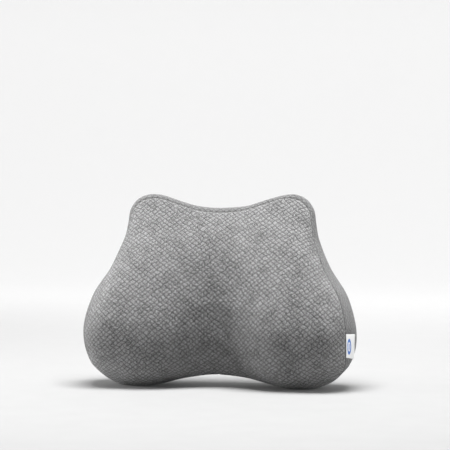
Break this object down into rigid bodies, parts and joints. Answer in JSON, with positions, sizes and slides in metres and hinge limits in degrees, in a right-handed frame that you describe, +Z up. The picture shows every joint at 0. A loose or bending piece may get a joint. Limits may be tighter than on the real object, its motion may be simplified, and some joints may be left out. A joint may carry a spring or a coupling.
{
  "type": "lumbar support cushion",
  "caption": "Wedge-shaped foam lumbar cushion with two ridges, a centre channel and a zipped knit cover, standing on its lower lobes.",
  "frame": {"origin": "on the standing surface, under the middle of the object's box", "axes": "+Z up, -Y out of the dished front, +X to the right of someone facing the front; the flat back looks along +Y"},
  "size_m": [0.4362, 0.1278, 0.3044],
  "materials": {
    "knit": "heathered mid grey knit with a small raised diamond lattice",
    "plain_knit": "plain fine heathered grey knit",
    "liner": "thin off-white stretch knit",
    "foam": "moulded slow-recovery foam, fine open cells",
    "zip_tape": "woven grey tape",
    "zip_teeth": "grey nylon",
    "zip_metal": "nickel-plated zinc",
    "label": null
  },
  "bodies": {
    "cushion": {"foam_core": "foam", "liner_front": "liner", "liner_back": "liner", "cover_front_panel": "knit", "cover_gusset": "plain_knit", "cover_back_upper": "plain_knit", "cover_back_lower": "plain_knit", "zip_tape_upper": "zip_tape", "zip_tape_lower": "zip_tape", "zip_teeth_upper": "zip_teeth", "zip_teeth_lower": "zip_teeth", "zip_top_stop_upper": "zip_metal", "zip_top_stop_lower": "zip_metal", "zip_bottom_stop": "zip_metal", "side_label": "label"},
    "slider": {"zip_slider": "zip_metal"},
    "pull": {"zip_pull": "zip_metal"}
  },
  "joints": [
    {"name": "slider_slide", "type": "slide", "parent": "cushion", "child": "slider", "axis": [-1, 0, 0], "range_m": [0, 0.2915], "deforming": ["zip_teeth_upper", "zip_teeth_lower"]},
    {"name": "pull_hinge", "type": "hinge", "parent": "slider", "child": "pull", "pos_m": [0.1473, 0.06221, 0.092], "axis": [0, 0, -1], "range_deg": [0, 170]}
  ]
}
